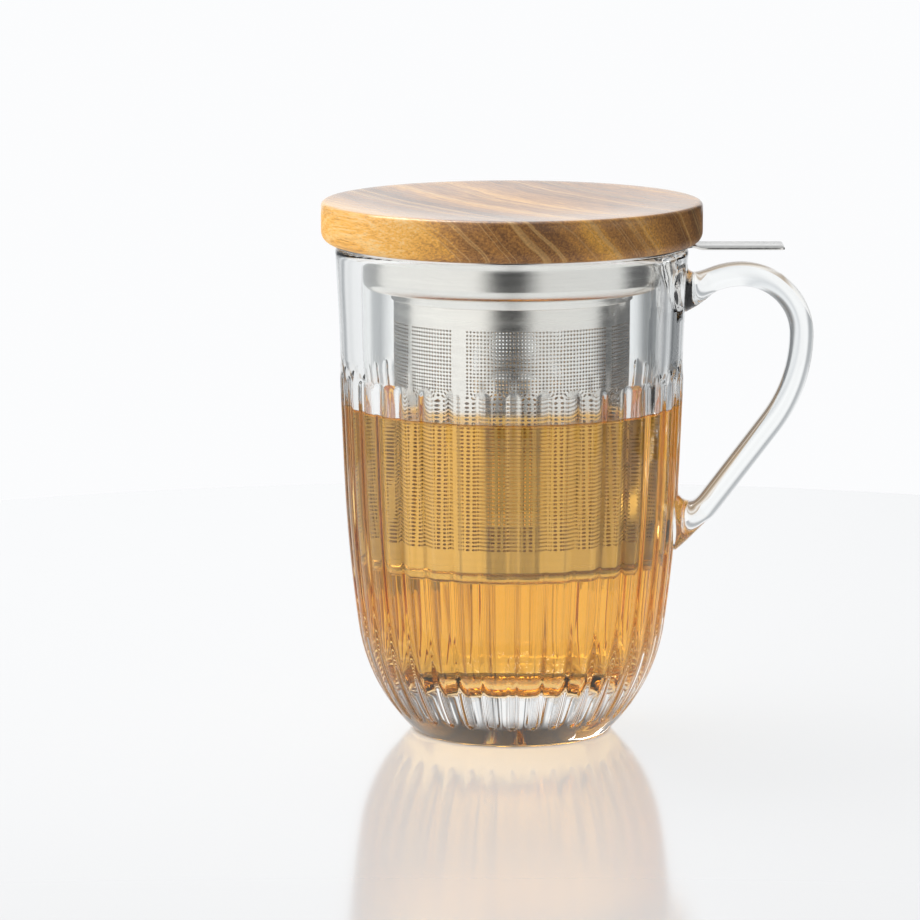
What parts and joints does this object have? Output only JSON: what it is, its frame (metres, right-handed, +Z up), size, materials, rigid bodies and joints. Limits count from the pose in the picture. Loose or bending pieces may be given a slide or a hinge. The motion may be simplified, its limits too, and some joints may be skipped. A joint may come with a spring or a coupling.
{
  "type": "lidded tea mug with infuser",
  "caption": "Fluted glass mug with a fused loop handle, a hanging perforated steel tea basket and a turned wooden lift-off lid.",
  "frame": {"origin": "centre of the foot, on the surface that the mug stands on", "axes": "+Z up along the mug's axis, +X towards the handle and the lifting tab, so the usual view looks along +Y"},
  "size_m": [0.119, 0.092, 0.1294],
  "materials": {
    "clear_glass": "clear fire-polished glass",
    "drawn_steel": "satin stainless steel, brushed round the axis",
    "perforated_steel": "satin stainless sheet with fine round perforations",
    "lid_wood": "oiled hardwood with fine diagonal figure",
    "seal_silicone": "matt translucent silicone"
  },
  "bodies": {
    "mug": {"mug_body": "clear_glass", "mug_handle": "clear_glass"},
    "infuser": {"infuser_collar": "drawn_steel", "infuser_tube": "perforated_steel", "infuser_base": "drawn_steel"},
    "lid": {"lid_disc": "lid_wood", "lid_seal": "seal_silicone"}
  },
  "joints": [
    {"name": "infuser_lift", "type": "slide", "parent": "mug", "child": "infuser", "axis": [0, 0, 1], "range_m": [0, 0.1]},
    {"name": "lid_lift", "type": "slide", "parent": "infuser", "child": "lid", "axis": [0, 0, 1], "range_m": [0, 0.05]}
  ]
}
